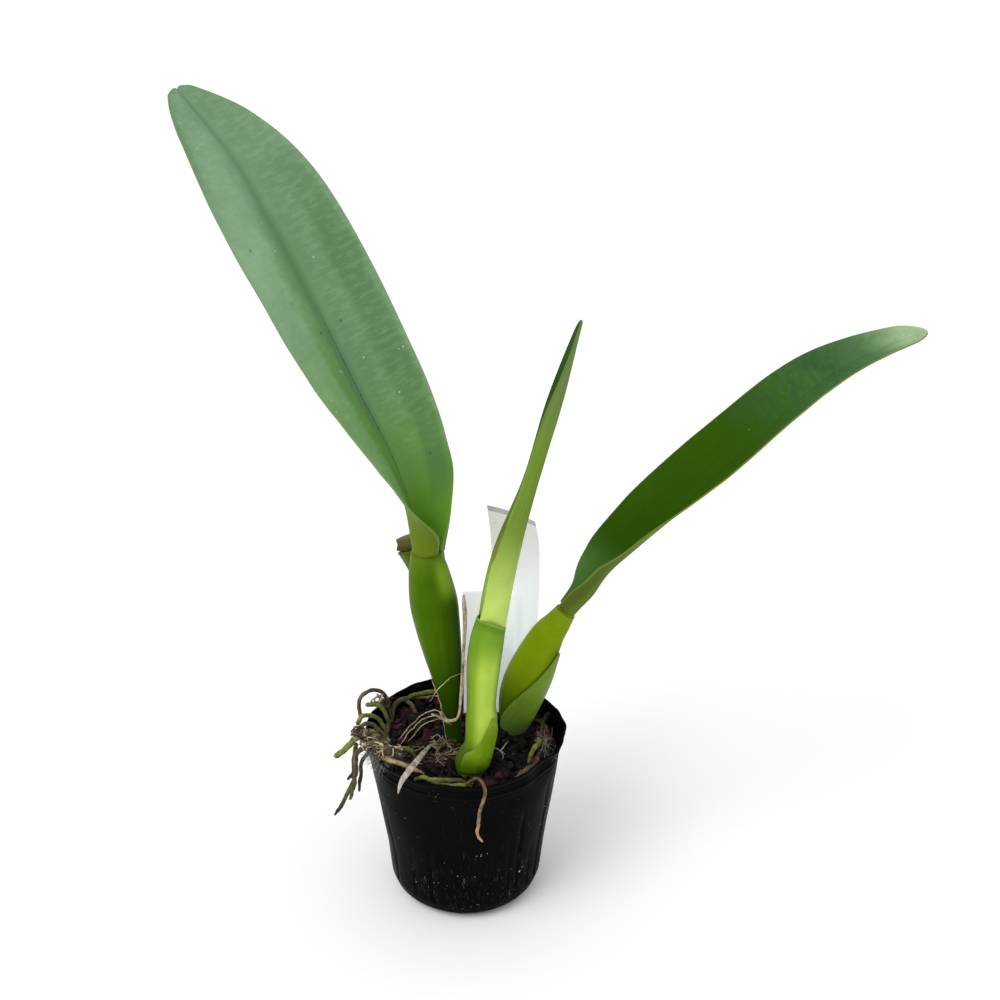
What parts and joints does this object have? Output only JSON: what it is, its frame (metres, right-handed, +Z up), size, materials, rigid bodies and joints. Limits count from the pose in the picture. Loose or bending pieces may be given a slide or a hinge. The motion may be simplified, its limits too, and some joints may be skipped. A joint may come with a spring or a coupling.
{
  "type": "potted cattleya orchid",
  "caption": "Cattleya orchid out of bloom in a soft nursery pot, with leathery leaves on pseudobulbs, a young growth, loose roots, bark mix and blank plant tags.",
  "frame": {"origin": "middle of the pot's flat base, on the surface it stands on", "axes": "+Z up; -Y is the side from which the folded young growth stands in front of the two grown ones; +X is to the right seen from there"},
  "size_m": [0.3659, 0.1234, 0.4148],
  "materials": {
    "pot_plastic": "soft black nursery plastic, satin, scuffed and dusty",
    "bark": "damp dark bark chunks",
    "rhizome_skin": "fleshy green stem with dry scales",
    "pseudobulb_left_skin": "waxy green skin",
    "pseudobulb_right_skin": "waxy yellow-green skin",
    "pseudobulb_back_skin": "old olive skin",
    "leaf_stub_skin": "dark cut leaf foot",
    "leaf_left_skin": "leathery leaf with a pale bloom",
    "leaf_right_skin": "leathery dark green leaf",
    "leaf_centre_skin": "soft light green young leaf",
    "shoot_skin": "fresh bright green sheath",
    "bract_skin": "fresh green bract",
    "sheath_right_skin": "green sheath with pale scuffs",
    "root_skin": "velvety roots, green to brown",
    "dry_sheath": "dry papery fibre",
    "tag_plastic": "blank white tag"
  },
  "bodies": {
    "root": {"pot": "pot_plastic", "bark_mix": "bark", "rhizome": "rhizome_skin", "pseudobulb_left": "pseudobulb_left_skin", "pseudobulb_right": "pseudobulb_right_skin", "pseudobulb_back": "pseudobulb_back_skin", "leaf_stub_back": "leaf_stub_skin", "leaf_left": "leaf_left_skin", "leaf_right": "leaf_right_skin", "leaf_centre": "leaf_centre_skin", "shoot_centre": "shoot_skin", "bract_centre": "bract_skin", "sheath_right": "sheath_right_skin", "roots_left": "root_skin", "roots_back": "root_skin", "roots_front": "root_skin", "roots_right": "root_skin", "dry_sheath_strand": "dry_sheath", "dry_sheath_blade": "dry_sheath", "tag_tall": "tag_plastic", "tag_short": "tag_plastic"}
  },
  "joints": []
}
